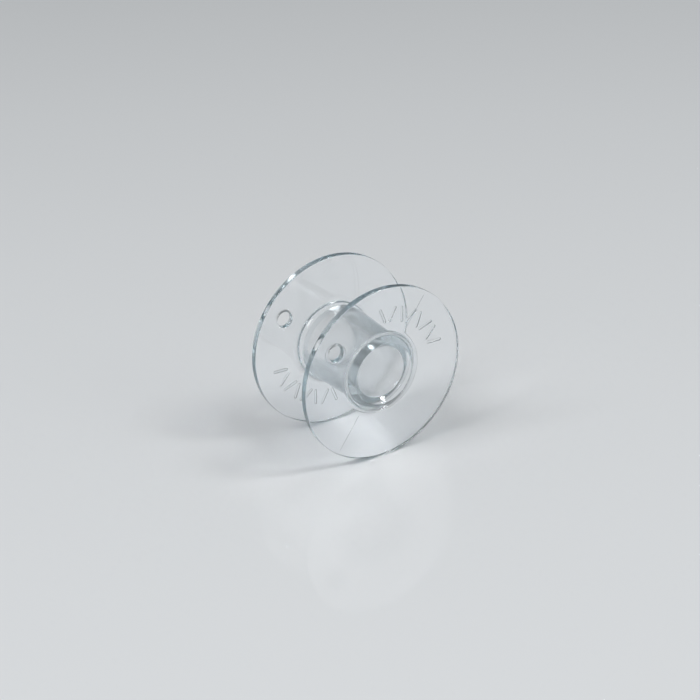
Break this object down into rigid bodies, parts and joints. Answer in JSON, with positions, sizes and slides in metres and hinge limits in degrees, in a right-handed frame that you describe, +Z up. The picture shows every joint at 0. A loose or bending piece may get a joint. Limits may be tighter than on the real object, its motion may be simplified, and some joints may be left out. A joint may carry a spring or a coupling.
{
  "type": "sewing machine bobbin",
  "caption": "Clear plastic sewing-machine bobbin: a hollow hub between two flat round flanges, each with a small round hole for the thread end.",
  "frame": {"origin": "centre of the bore, half way between the outer faces of the two flanges", "axes": "+Y along the bobbin's axis, from the front flange to the rear flange; +Z up, with the bobbin standing on both rims"},
  "size_m": [0.0204, 0.011, 0.0204],
  "materials": {
    "clear_plastic": "moulded clear, glossy"
  },
  "bodies": {
    "root": {"spool_body": "clear_plastic", "rear_flange": "clear_plastic"}
  },
  "joints": []
}
